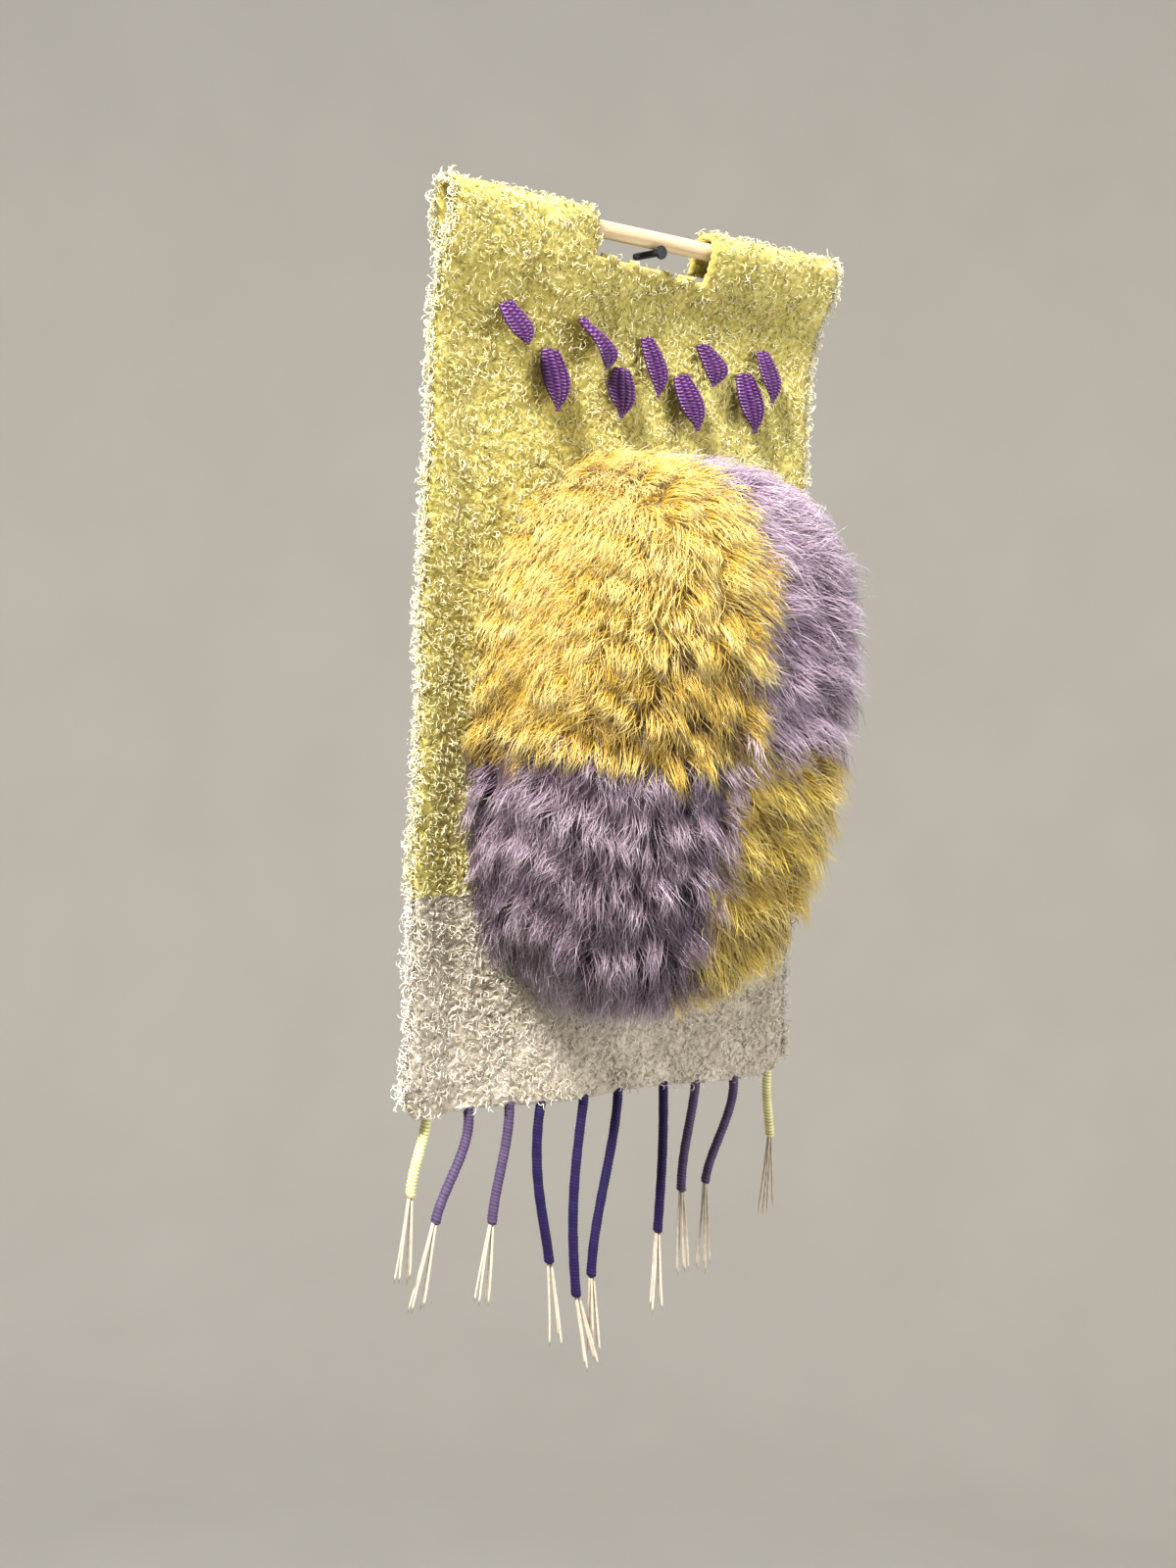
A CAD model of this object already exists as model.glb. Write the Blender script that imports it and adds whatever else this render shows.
"""Looks of the textile wall hanging: boucle cloth, a dome of long pile, woven leaves and a fringe."""

import math

import bmesh
import bpy
import numpy as np
from mathutils import Matrix, Vector


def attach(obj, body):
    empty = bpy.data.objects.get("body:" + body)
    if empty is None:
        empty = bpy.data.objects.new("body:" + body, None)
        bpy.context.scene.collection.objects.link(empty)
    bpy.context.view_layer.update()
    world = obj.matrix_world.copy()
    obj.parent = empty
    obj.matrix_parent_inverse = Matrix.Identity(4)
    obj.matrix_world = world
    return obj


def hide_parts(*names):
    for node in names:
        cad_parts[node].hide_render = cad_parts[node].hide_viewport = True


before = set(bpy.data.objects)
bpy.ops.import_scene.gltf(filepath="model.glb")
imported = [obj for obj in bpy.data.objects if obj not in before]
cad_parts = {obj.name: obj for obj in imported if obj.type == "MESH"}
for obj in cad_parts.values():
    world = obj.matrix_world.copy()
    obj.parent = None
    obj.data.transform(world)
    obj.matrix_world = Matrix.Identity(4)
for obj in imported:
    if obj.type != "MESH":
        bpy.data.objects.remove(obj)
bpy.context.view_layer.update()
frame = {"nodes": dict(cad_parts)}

# Sizes in metres, the same as those of the solids
CLOTH_CENTRE_X = -0.0019
CLOTH_WIDTH = 0.200
CLOTH_BOTTOM_Z = -0.3354
CLOTH_LEFT_X = CLOTH_CENTRE_X - CLOTH_WIDTH / 2
CLOTH_RIGHT_X = CLOTH_CENTRE_X + CLOTH_WIDTH / 2
WALL_LAYER = -0.0022
ROD_RADIUS = 0.0035
ROD_DEPTH = 0.0103
ROD_Z = 0.00525
ROD_LENGTH = 0.190
SLEEVE_RADIUS = 0.0060
NAIL_RADIUS = 0.00145
NAIL_HEAD_RADIUS = 0.0027
NAIL_LENGTH = 0.0160
NOTCH_LEFT_X = -0.0335
NOTCH_RIGHT_X = 0.0275
NOTCH_WIDTH = NOTCH_RIGHT_X - NOTCH_LEFT_X
NOTCH_LEFT_FLOOR_Z = -0.0055
NOTCH_RIGHT_FLOOR_Z = -0.0068
LEFT_TAIL_Z = -0.0190
RIGHT_TAIL_Z = -0.0030
BAND_TOP_Z = -0.2515

# Depth of the middle of the cloth's front layer below the rod
FALL = np.array((
    # z, left, middle, right
    (ROD_Z, -0.01630, -0.01380, -0.01630),
    (-0.0015, -0.01600, -0.01200, -0.01540),
    (-0.0085, -0.01540, -0.00960, -0.01090),
    (-0.0145, -0.01380, -0.00690, -0.00580),
    (-0.0220, -0.01100, -0.00430, -0.00330),
    (-0.0310, -0.00760, -0.00300, -0.00240),
    (-0.0430, -0.00470, -0.00230, WALL_LAYER),
    (-0.0600, -0.00290, WALL_LAYER, WALL_LAYER),
    (-0.0740, WALL_LAYER, WALL_LAYER, WALL_LAYER),
))

# Weave of the cloth as it shows
WEFT_PITCH = 0.0026
WARP_PITCH = 0.0042
SHEET_THICKNESS = 0.0030
WEAVE_RELIEF = 0.00042
LUMP_RELIEF = 0.00045
FRONT_LENGTH = ROD_Z - CLOTH_BOTTOM_Z
SLEEVE_LENGTH = math.pi * SLEEVE_RADIUS
LEFT_LENGTH = FRONT_LENGTH + SLEEVE_LENGTH + ROD_Z - LEFT_TAIL_Z
RIGHT_LENGTH = FRONT_LENGTH + SLEEVE_LENGTH + ROD_Z - RIGHT_TAIL_Z
COLUMN_STEP = 0.0021
ROW_STEP = WEFT_PITCH / 2
# How far the left tail's outer edge is drawn in at its end
TAIL_DRAWN_IN = 0.0060
# The centre lines of the loops stay in front of this plane
WALL_GAP_Y = -0.0004

# Pile dome
PILE_BASE_Y = -0.0047
PILE_CENTRE_X = -0.0045
PILE_CENTRE_Z = -0.1935
PILE_HALF_WIDTH = 0.0800
PILE_UP = 0.1175
PILE_DOWN = 0.0980
PILE_DEPTH = 0.0750
PILE_WIDEST = 0.024
PILE_WAIST = 0.86
PILE_PROFILE_POWER = 3.1
PILE_PLAN_POWER = 2.8
PILE_SAG = 0.016
PILE_LEAN = 0.079
PILE_FULLER_ABOVE = 1.5
PILE_WIDER_ABOVE = 0.5
SEAM_X = 0.0030
SEAM_Z = -0.2010
SEAM_SLOPE = math.tan(math.radians(5.0))
# The roots' seams lie back from where the tips end, because the locks hang over their neighbours
ROOT_SEAM_SHIFT_X = -0.009
ROOT_SEAM_SHIFT_Z = 0.009
CORE_SCALE = 0.88
LOCK_PITCH = 0.0058
LOCK_STATIONS = 4
ROOT_DEPTH = 0.0085
SINK = 0.0014
SINK_LEFT = 0.0050
LEDGE_PITCH = 0.023
LEDGE_LIFT = 0.0056
LEDGE_SHADE = 0.42
FLOW_OUT = 1.8
FLOW_DOWN = 0.66
FIBRE_LENGTHS = (0.013, 0.023)
FIBRE_RADII = (0.00012, 0.00021)
STRAY_ANGLE = 0.38
FRIZZ = 0.0015
WISP_SHARE = 0.06
WISP_LIFTS = (0.001, 0.0048)
WILD_SHARE = 0.30
WILD_SPREAD = 0.0042
PARTING_X = -0.036
PARTING_Z = -0.120

QUARTERS = (
    # piece, node, slot, side in x, side in z, fibres, lift, clumping
    ("gold_pile", "pile_gold", "gold_pile", -1, 1, 11000, 0.0016, 0.46),
    ("upper_lilac_pile", "pile_lilac_upper", "lilac_pile", 1, 1, 5000, 0.0016, 0.46),
    ("lower_lilac_pile", "pile_lilac_lower", "lilac_pile", -1, -1, 7600, 0.0020, 0.52),
    ("mustard_pile", "pile_mustard", "mustard_pile", 1, -1, 4400, 0.0008, 0.30),
)

LEAVES = (
    # x, top z, length, width, turn, lift of the tip, roll, bow
    (-0.0747, -0.0296, 0.0165, 0.0141, 18.0, 0.0075, 4.0, 0.0026),
    (-0.0485, -0.0436, 0.0235, 0.0142, 1.0, 0.0050, 0.0, 0.0015),
    (-0.0389, -0.0311, 0.0200, 0.0160, 20.0, 0.0070, 24.0, 0.0080),
    (-0.0104, -0.0463, 0.0200, 0.0136, -11.0, 0.0045, -4.0, 0.0),
    (0.0019, -0.0324, 0.0235, 0.0125, 6.0, 0.0050, 6.0, 0.0027),
    (0.0219, -0.0446, 0.0228, 0.0149, 14.0, 0.0055, 2.0, 0.0018),
    (0.0329, -0.0311, 0.0170, 0.0147, 7.0, 0.0050, 2.0, 0.0050),
    (0.0580, -0.0399, 0.0245, 0.0147, 7.0, 0.0045, 0.0, 0.0017),
    (0.0667, -0.0296, 0.0215, 0.0140, 3.0, 0.0055, 12.0, 0.0026),
)
LEAF_COLUMNS = 4
LEAF_STITCH = 0.00140
LEAF_ACROSS = 12
LEAF_ALONG = 90
LEAF_ARCH = 0.0022

WRAP_RADIUS = 0.0021
TURN_PITCH = 0.00130
TASSEL_ROOT_Y = -0.0026
WARP_RADIUS = 0.00055
TASSELS = (
    # x, drop and shift of the wrap's end, bow, drop and shift of the warps' tips, tip y, warps, wrap
    (-0.0909, 0.0295, -0.0062, -0.0004, 0.0355, -0.0030, -0.0034, 4, "yellow_wrap"),
    (-0.0709, 0.0420, -0.0150, 0.0022, 0.0345, -0.0095, -0.0062, 4, "grey_lilac_wrap"),
    (-0.0507, 0.0455, -0.0070, 0.0005, 0.0320, -0.0045, -0.0040, 4, "grey_lilac_wrap"),
    (-0.0349, 0.0645, 0.0070, -0.0034, 0.0360, 0.0045, -0.0048, 3, "violet_wrap"),
    (-0.0125, 0.0800, -0.0014, -0.0034, 0.0305, 0.0070, -0.0076, 4, "violet_wrap"),
    (0.0058, 0.0745, -0.0108, -0.0004, 0.0345, 0.0028, -0.0030, 5, "violet_wrap"),
    (0.0309, 0.0615, -0.0008, 0.0010, 0.0345, -0.0005, -0.0050, 4, "violet_wrap"),
    (0.0493, 0.0450, -0.0062, -0.0010, 0.0370, 0.0018, -0.0042, 5, "grey_lilac_wrap"),
    (0.0718, 0.0425, -0.0155, 0.0012, 0.0395, -0.0010, -0.0056, 5, "grey_lilac_wrap"),
    (0.0920, 0.0280, 0.0030, -0.0006, 0.0340, -0.0016, -0.0038, 4, "yellow_wrap"),
)

# The yellow loops are two pieces, which meet at this length up from the hem
UPPER_LOOPS_FROM = 0.225
LOOP_RADII = (0.00014, 0.00023)
SHORTEST_LOOP = 0.0026
# The lower lilac quarter is painted paler towards its upper edge
EDGE_LIGHT = 0.17
EDGE_LIGHT_Z = -0.252
EDGE_LIGHT_DEPTH = 0.034

# Linear colours
WRAP_COLOURS = {
    "yellow_wrap": (0.80, 0.75, 0.36),
    "grey_lilac_wrap": (0.082, 0.054, 0.125),
    "violet_wrap": (0.014, 0.0050, 0.060),
}
PILE_COLOURS = {
    # root, middle, tip
    "gold_pile": ((0.13, 0.062, 0.004), (0.70, 0.455, 0.040), (1.0, 0.88, 0.38)),
    "upper_lilac_pile": ((0.060, 0.030, 0.062), (0.44, 0.31, 0.43), (0.88, 0.76, 0.87)),
    "lower_lilac_pile": ((0.026, 0.011, 0.028), (0.19, 0.115, 0.18), (0.74, 0.60, 0.72)),
    "mustard_pile": ((0.19, 0.100, 0.006), (0.74, 0.53, 0.055), (0.95, 0.80, 0.28)),
}

# Camera, in the frame of the wall
CAMERA_PLACE = (-0.5758, -0.6491, -0.1683)
CAMERA_YAW = 40.86
CAMERA_PITCH = -2.79
CAMERA_ROLL = 2.18
CAMERA_LENS = 49.5
FLOOR_Z = -2.20
STAGE_RADIUS = 6.0
STAGE_SWEEP = 1.6
STAGE_HEIGHT = 5.5

WORLD_COLOUR = (0.66, 0.65, 0.63, 1.0)
WORLD_STRENGTH = 0.50
LIGHT_TARGET = (0.0, -0.03, -0.18)
LIGHTS = (
    # name, place, diameter, power, colour
    ("key", (-1.55, -0.66, 1.50), 0.50, 178.0, (1.0, 0.965, 0.90)),
    ("fill", (1.0, -1.6, 0.1), 1.6, 34.0, (0.97, 0.975, 1.0)),
)


class Field:
    """A socket of a node tree, so that sums and products of values read as plain maths."""

    def __init__(self, recipe, socket):
        self.recipe = recipe
        self.socket = socket

    def math(self, operation, *values):
        return self.recipe.node("ShaderNodeMath", {"operation": operation}, dict(enumerate(values)))

    def __add__(self, other):
        return self.math("ADD", self, other)

    __radd__ = __add__

    def __mul__(self, other):
        return self.math("MULTIPLY", self, other)

    __rmul__ = __mul__

    def __sub__(self, other):
        return self.math("SUBTRACT", self, other)

    def __rsub__(self, other):
        return self.math("SUBTRACT", other, self)

    def clamped(self):
        return self.math("MINIMUM", self.math("MAXIMUM", self, 0.0), 1.0)

    def above(self, level):
        return self.math("GREATER_THAN", self, level)


class Recipe:
    """A material's node tree."""

    def __init__(self, name, **constants):
        self.material = bpy.data.materials.new(name)
        self.material.use_nodes = True
        self.tree = self.material.node_tree
        self.shader = self.tree.nodes["Principled BSDF"]
        for key, value in constants.items():
            name = key.replace("_", " ").title().replace("Ior", "IOR")
            self.shader.inputs[name].default_value = value
        self.place = self.node("ShaderNodeTexCoord", {}, {}, "Object")

    def node(self, kind, settings, inputs, output=0):
        made = self.tree.nodes.new(kind)
        for key, value in settings.items():
            if key == "stops":
                self.set_stops(made.color_ramp, value)
            else:
                setattr(made, key, value)
        for key, value in inputs.items():
            self.feed(made.inputs[key], value)
        return Field(self, made.outputs[output])

    def feed(self, socket, value):
        if isinstance(value, Field):
            self.tree.links.new(value.socket, socket)
        elif hasattr(value, "__len__") and len(value) == 3 and socket.type == "RGBA":
            socket.default_value = (*value, 1.0)
        else:
            socket.default_value = value

    def set_stops(self, ramp, stops):
        while len(ramp.elements) < len(stops):
            ramp.elements.new(1.0)
        for element, (position, colour) in zip(ramp.elements, stops):
            element.position = position
            element.color = (*colour, 1.0)

    def noise(self, scale, detail=2.0, roughness=0.5, place=None):
        inputs = {"Vector": place or self.place, "Scale": scale, "Detail": detail, "Roughness": roughness}
        return self.node("ShaderNodeTexNoise", {}, inputs)

    def mapped(self, scale):
        return self.node("ShaderNodeMapping", {}, {"Vector": self.place, "Scale": scale})

    def attribute(self, name):
        return self.node("ShaderNodeAttribute", {"attribute_name": name}, {}, "Fac")

    def axis(self, name):
        return self.node("ShaderNodeSeparateXYZ", {}, {0: self.place}, name)

    def ramp(self, value, *stops):
        return self.node("ShaderNodeValToRGB", {"stops": stops}, {"Fac": value})

    def mix(self, factor, first, second):
        settings = {"data_type": "RGBA"}
        return self.node("ShaderNodeMix", settings, {0: factor, 6: first, 7: second}, 2)

    def bump(self, height, distance, strength=1.0):
        inputs = {"Height": height, "Distance": distance, "Strength": strength}
        self.set(Normal=self.node("ShaderNodeBump", {}, inputs))

    def set(self, **sockets):
        for key, value in sockets.items():
            self.feed(self.shader.inputs[key.replace("_", " ")], value)
        return self.material


def cloth_finish():
    """Boucle yarn: nubs and dips of two sizes, yellow above a beige band."""
    recipe = Recipe("boucle cloth", roughness=0.95, sheen_weight=0.35, sheen_roughness=0.5)
    nubs = recipe.noise(520.0, 3.0, 0.6)
    drift = recipe.noise(70.0, 2.0)
    mottle = (nubs * 0.75 + drift * 0.5 - 0.15).clamped()
    yellow = recipe.ramp(
        mottle, (0.25, (0.19, 0.147, 0.016)), (0.50, (0.48, 0.405, 0.085)), (0.72, (0.76, 0.69, 0.25))
    )
    beige = recipe.ramp(
        mottle, (0.25, (0.23, 0.185, 0.13)), (0.50, (0.49, 0.43, 0.335)), (0.72, (0.76, 0.70, 0.59))
    )
    line = recipe.axis("Z") + recipe.noise(140.0) * 0.0016 - 0.0008
    colour = recipe.mix(line.above(BAND_TOP_Z), beige, yellow)
    recipe.bump(nubs + recipe.noise(1500.0, 2.0) * 0.4, 0.0006, 0.9)
    return recipe.set(Base_Color=colour)


def loop_finish(name, deep, middle, pale):
    """Loops of yarn, darker where they leave the cloth and cream where they stand off it."""
    recipe = Recipe(name, roughness=0.75, sheen_weight=0.5, sheen_roughness=0.4)
    shade = recipe.attribute("shade")
    colour = recipe.ramp(shade, (0.0, deep), (0.45, middle), (1.0, pale))
    speckle = recipe.noise(2200.0, 1.0)
    recipe.bump(speckle, 0.0001, 0.5)
    return recipe.set(Base_Color=colour)


def pile_finish(name, root, middle, tip):
    """Long hair-like fibres: dark between the locks, pale and a little glossy at their tips."""
    recipe = Recipe(name, roughness=0.44, sheen_weight=0.5, sheen_roughness=0.35)
    shade = recipe.attribute("shade")
    drift = recipe.noise(28.0, 2.0) * 0.24 - 0.12
    colour = recipe.ramp((shade + drift).clamped(), (0.0, root), (0.5, middle), (1.0, tip))
    return recipe.set(Base_Color=colour)


def leaf_finish():
    """Glossy embroidery thread."""
    recipe = Recipe("purple thread", roughness=0.34, sheen_weight=0.1, sheen_roughness=0.3)
    shade = recipe.attribute("shade")
    drift = recipe.noise(240.0, 2.0) * 0.3
    colour = recipe.ramp(
        (shade * 0.85 + drift - 0.05).clamped(),
        (0.0, (0.020, 0.003, 0.036)),
        (0.5, (0.088, 0.017, 0.128)),
        (1.0, (0.44, 0.19, 0.55)),
    )
    recipe.bump(recipe.noise(3200.0, 2.0), 0.00012, 0.6)
    return recipe.set(Base_Color=colour)


def wrap_finish(name, colour):
    """Thread wound close: each turn catches the light."""
    recipe = Recipe(name.replace("_", " "), roughness=0.6, specular_ior_level=0.22)
    shade = recipe.attribute("shade")
    dark = tuple(0.42 * part for part in colour)
    light = tuple(min(1.0, 1.35 * part + 0.02) for part in colour)
    drift = recipe.noise(180.0, 3.0) * 0.5 - 0.25
    colours = recipe.ramp((shade + drift).clamped(), (0.0, dark), (0.5, colour), (1.0, light))
    recipe.bump(recipe.noise(2600.0, 2.0), 0.00012, 0.7)
    return recipe.set(Base_Color=colours)


def cotton_finish():
    recipe = Recipe("warp cotton", roughness=0.8, sheen_weight=0.3)
    tone = recipe.noise(420.0, 2.0)
    colour = recipe.ramp(
        tone, (0.3, (0.45, 0.385, 0.29)), (0.55, (0.57, 0.50, 0.39)), (0.8, (0.68, 0.61, 0.50))
    )
    recipe.bump(recipe.noise(2400.0, 1.0), 0.0001, 0.6)
    return recipe.set(Base_Color=colour)


def pine_finish():
    """Straight grain along the dowel, with a few darker streaks."""
    recipe = Recipe("pine dowel", specular_ior_level=0.35)
    grain = recipe.noise(60.0, 4.0, 0.65, recipe.mapped((0.35, 9.0, 9.0)))
    streak = recipe.noise(40.0, 2.0, 0.5, recipe.mapped((0.15, 5.0, 5.0)))
    tone = (grain * 0.9 + streak * 0.7 - 0.32).clamped()
    colour = recipe.ramp(
        tone, (0.25, (0.40, 0.26, 0.13)), (0.48, (0.66, 0.50, 0.30)), (0.75, (0.80, 0.67, 0.46))
    )
    recipe.bump(grain, 0.00025, 0.5)
    return recipe.set(Base_Color=colour, Roughness=grain * 0.25 + 0.45)


def nail_finish():
    """Black paint with worn, slightly brighter patches."""
    recipe = Recipe("black nail", specular_ior_level=0.14)
    wear = recipe.noise(900.0, 3.0)
    colour = recipe.ramp(wear, (0.35, (0.006, 0.006, 0.007)), (0.75, (0.030, 0.030, 0.032)))
    recipe.bump(wear, 0.0001, 0.5)
    return recipe.set(Base_Color=colour, Roughness=wear * 0.35 + 0.20)


def floor_finish():
    recipe = Recipe("pale floor", roughness=0.85)
    tone = recipe.noise(3.0, 2.0)
    return recipe.set(Base_Color=recipe.ramp(tone, (0.3, (0.72, 0.70, 0.66)), (0.7, (0.75, 0.73, 0.69))))


def smoothstep(t):
    t = np.clip(t, 0.0, 1.0)
    return t * t * (3 - 2 * t)


def unit(vectors):
    return vectors / np.maximum(np.linalg.norm(vectors, axis=-1, keepdims=True), 1e-12)


def array_piece(name, points, faces, shade, finishes, face_slots=None):
    """A piece of many small shapes: triangles, with a shade on each point."""
    mesh = bpy.data.meshes.new(name)
    mesh.vertices.add(len(points))
    mesh.vertices.foreach_set("co", points.astype(np.float32).ravel())
    mesh.loops.add(faces.size)
    mesh.loops.foreach_set("vertex_index", faces.astype(np.int32).ravel())
    mesh.polygons.add(len(faces))
    mesh.polygons.foreach_set("loop_start", np.arange(0, faces.size, 3, dtype=np.int32))
    if face_slots is not None:
        mesh.polygons.foreach_set("material_index", face_slots.astype(np.int32))
    mesh.update(calc_edges=True)
    add_shade(mesh, shade)
    for finish in finishes:
        mesh.materials.append(finish)
    mesh.shade_smooth()
    return add_object(name, mesh)


def add_shade(mesh, shade):
    layer = mesh.attributes.new("shade", "FLOAT", "POINT")
    layer.data.foreach_set("value", np.clip(shade, 0.0, 1.0).astype(np.float32))


def add_object(name, mesh):
    made = bpy.data.objects.new(name, mesh)
    bpy.context.scene.collection.objects.link(made)
    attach(made, "root")
    return made


def mesh_piece(name, bm, finish, smooth_angle=50.0):
    mesh = bpy.data.meshes.new(name)
    bm.to_mesh(mesh)
    bm.free()
    mesh.materials.append(finish)
    mesh.shade_smooth()
    mesh.set_sharp_from_angle(angle=math.radians(smooth_angle))
    return add_object(name, mesh)


def strands(centres, radii, sides, reference, tilt=0.0):
    """Closed tapered strands along centre lines (count, stations, 3), pointed at their last station."""
    count, stations = radii.shape
    along = unit(np.gradient(centres, axis=1))
    side = unit(np.cross(along, reference[:, None, :]))
    up = np.cross(side, along)
    turn = 2 * math.pi * np.arange(sides) / sides
    ring = np.cos(turn)[:, None] * side[:, :-1, None, :] + np.sin(turn)[:, None] * up[:, :-1, None, :]
    rings = centres[:, :-1, None, :] + radii[:, :-1, None, None] * ring
    rings += tilt * np.cos(turn)[:, None] * along[:, :-1, None, :]
    body = rings.reshape(count, -1, 3)
    points = np.concatenate([body, centres[:, -1:, :]], axis=1)
    faces = []
    for station in range(stations - 2):
        for corner in range(sides):
            a = station * sides + corner
            b = station * sides + (corner + 1) % sides
            faces.append((a, b, b + sides))
            faces.append((a, b + sides, a + sides))
    last = (stations - 2) * sides
    tip = (stations - 1) * sides
    for corner in range(sides):
        faces.append((last + corner, last + (corner + 1) % sides, tip))
    for corner in range(1, sides - 1):
        faces.append((0, corner + 1, corner))
    faces = np.array(faces)
    each = points.shape[1]
    offsets = each * np.arange(count)[:, None, None]
    return points.reshape(-1, 3), (faces[None] + offsets).reshape(-1, 3)


def strand_values(values, sides):
    """Values (count, stations) spread over the points that strands() makes."""
    body = np.repeat(values[:, :-1], sides, axis=1)
    return np.concatenate([body, values[:, -1:]], axis=1).ravel()


def join_arrays(parts):
    """(points, faces, shade, slot) of several shapes as one."""
    points, faces, shade, slots, start = [], [], [], [], 0
    for part_points, part_faces, part_shade, slot in parts:
        points.append(part_points)
        faces.append(part_faces + start)
        shade.append(part_shade)
        slots.append(np.full(len(part_faces), slot))
        start += len(part_points)
    return np.concatenate(points), np.concatenate(faces), np.concatenate(shade), np.concatenate(slots)


def front_depth(x, z):
    """Y of the middle of the cloth's front layer, eased between the rows of the fall."""
    total = 0.0
    for offset in (-0.006, -0.003, 0.0, 0.003, 0.006):
        level = np.minimum(z + offset, ROD_Z)
        left, middle, right = (np.interp(level, FALL[::-1, 0], FALL[::-1, side]) for side in (1, 2, 3))
        towards_left = smoothstep((NOTCH_RIGHT_X - 0.012 - x) / NOTCH_WIDTH)
        towards_right = smoothstep((x - NOTCH_LEFT_X - 0.012) / NOTCH_WIDTH)
        total = total + middle + (left - middle) * towards_left + (right - middle) * towards_right
    curl = smoothstep((CLOTH_LEFT_X + 0.022 - x) / 0.022) * smoothstep((-0.03 - z) / 0.03)
    return total / 5 - 0.0035 * curl


def hem_z(x):
    near_edge = np.minimum(x - CLOTH_LEFT_X, CLOTH_RIGHT_X - x)
    lift = 0.006 * (1 - smoothstep(near_edge / 0.006)) ** 2
    return CLOTH_BOTTOM_Z + 0.0008 * np.sin(x * 70) + lift


def hang(x, length):
    """Where a point of the flat cloth hangs: x across it and its length up from the hem."""
    z = CLOTH_BOTTOM_Z + length
    z = z + (hem_z(x) - CLOTH_BOTTOM_Z) * smoothstep(1 - length / 0.02)
    y = front_depth(x, z)
    round_rod = np.clip((length - FRONT_LENGTH) / SLEEVE_RADIUS, 0.0, math.pi)
    on_sleeve = length > FRONT_LENGTH
    y = np.where(on_sleeve, -ROD_DEPTH - SLEEVE_RADIUS * np.cos(round_rod), y)
    z = np.where(on_sleeve, ROD_Z + SLEEVE_RADIUS * np.sin(round_rod), z)
    tail = np.maximum(length - FRONT_LENGTH - SLEEVE_LENGTH, 0.0)
    tail_length = np.where(x < 0, ROD_Z - LEFT_TAIL_Z, ROD_Z - RIGHT_TAIL_Z)
    behind = -ROD_DEPTH + SLEEVE_RADIUS
    on_tail = tail > 0
    y = np.where(on_tail, WALL_LAYER + (behind - WALL_LAYER) * smoothstep(1 - tail / tail_length), y)
    z = np.where(on_tail, ROD_Z - tail, z)
    drawn_in = smoothstep(tail / tail_length) * smoothstep((-0.055 - x) / 0.04)
    x = x + TAIL_DRAWN_IN * drawn_in
    near_edge = np.minimum(x - CLOTH_LEFT_X, CLOTH_RIGHT_X - x)
    phase = np.where(x > 0, 2.1, 0.4)
    wave = 0.0007 * (np.sin(z * 61 + phase) + 0.6 * np.sin(z * 143 + 2 * phase))
    wave = wave * smoothstep(1 - near_edge / (CLOTH_WIDTH / 6))
    return np.stack([x + wave, y, z], axis=-1)


def cloth_normal(x, length):
    """Direction off the cloth's outer face."""
    step = 0.0008
    across = hang(x + step, length) - hang(x - step, length)
    upward = hang(x, length + step) - hang(x, length - step)
    return unit(np.cross(across, upward))


def notch_floor_length(x):
    along = (x - NOTCH_LEFT_X) / NOTCH_WIDTH
    level = NOTCH_LEFT_FLOOR_Z + (NOTCH_RIGHT_FLOOR_Z - NOTCH_LEFT_FLOOR_Z) * along
    return level + 0.0006 * np.sin(x * 420) - CLOTH_BOTTOM_Z


def on_cloth(x, length):
    """Whether the flat cloth has a point there: not in the notch, nor past the end of its tail."""
    in_notch = (x > NOTCH_LEFT_X) & (x < NOTCH_RIGHT_X) & (length > notch_floor_length(x))
    longest = np.where(x < 0, LEFT_LENGTH, RIGHT_LENGTH)
    return ~in_notch & (length < longest)


def weave_height(x, length, chance):
    """Relief of the weft rows, which pass over and under the warps, with the yarn's own lumps."""
    row = np.floor(length / WEFT_PITCH)
    rows = np.abs(np.sin(math.pi * length / WEFT_PITCH)) - 0.5
    crossing = np.cos(math.pi * x / WARP_PITCH + math.pi * row)
    lumps = chance.normal(0.0, 0.6, len(x))
    return WEAVE_RELIEF * (rows + 0.55 * crossing) + LUMP_RELIEF * lumps


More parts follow.
